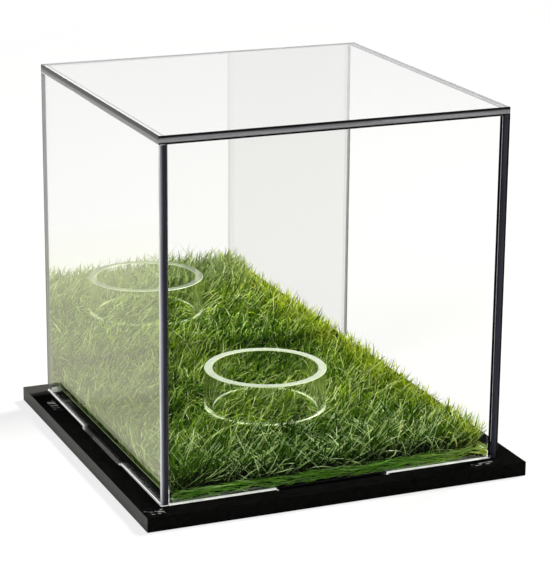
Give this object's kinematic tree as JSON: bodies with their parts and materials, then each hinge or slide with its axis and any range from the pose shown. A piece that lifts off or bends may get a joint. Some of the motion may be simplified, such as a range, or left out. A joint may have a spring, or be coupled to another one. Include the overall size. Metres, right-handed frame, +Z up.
{
  "type": "golf ball display case",
  "caption": "Square case for showing one golf ball: clear lift-off cover with a mirrored back, gloss black base with tab slots, turf mat and a clear ring as the ball's seat.",
  "frame": {"origin": "middle of the base plate's underside, at rest on a level surface", "axes": "+Z up, +X to the right and -Y towards the viewer; the mirrored back stands at +Y"},
  "size_m": [0.095, 0.095, 0.0885],
  "materials": {
    "black_acrylic": "gloss, laser-cut edges",
    "clear_acrylic": "clear, gloss, polished edges",
    "silvered_layer": "silvered in front, painted behind",
    "grass_yarn": "soft plastic blades, satin",
    "latex_backing": "matte",
    "adhesive_sheet": "translucent, satin"
  },
  "bodies": {
    "base": {"base_plate": "black_acrylic", "mat_adhesive": "adhesive_sheet", "turf_backing": "latex_backing", "turf_pile": "grass_yarn"},
    "cover": {"front_panel": "clear_acrylic", "left_panel": "clear_acrylic", "right_panel": "clear_acrylic", "back_panel": "clear_acrylic", "mirror_backing": "silvered_layer", "top_panel": "clear_acrylic"},
    "ring": {"ring_stand": "clear_acrylic"}
  },
  "joints": [
    {"name": "cover_lift", "type": "slide", "parent": "base", "child": "cover", "axis": [0, 0, 1], "range_m": [0, 0.1]},
    {"name": "ring_lift", "type": "slide", "parent": "base", "child": "ring", "axis": [0, 0, 1], "range_m": [0, 0.05]}
  ]
}
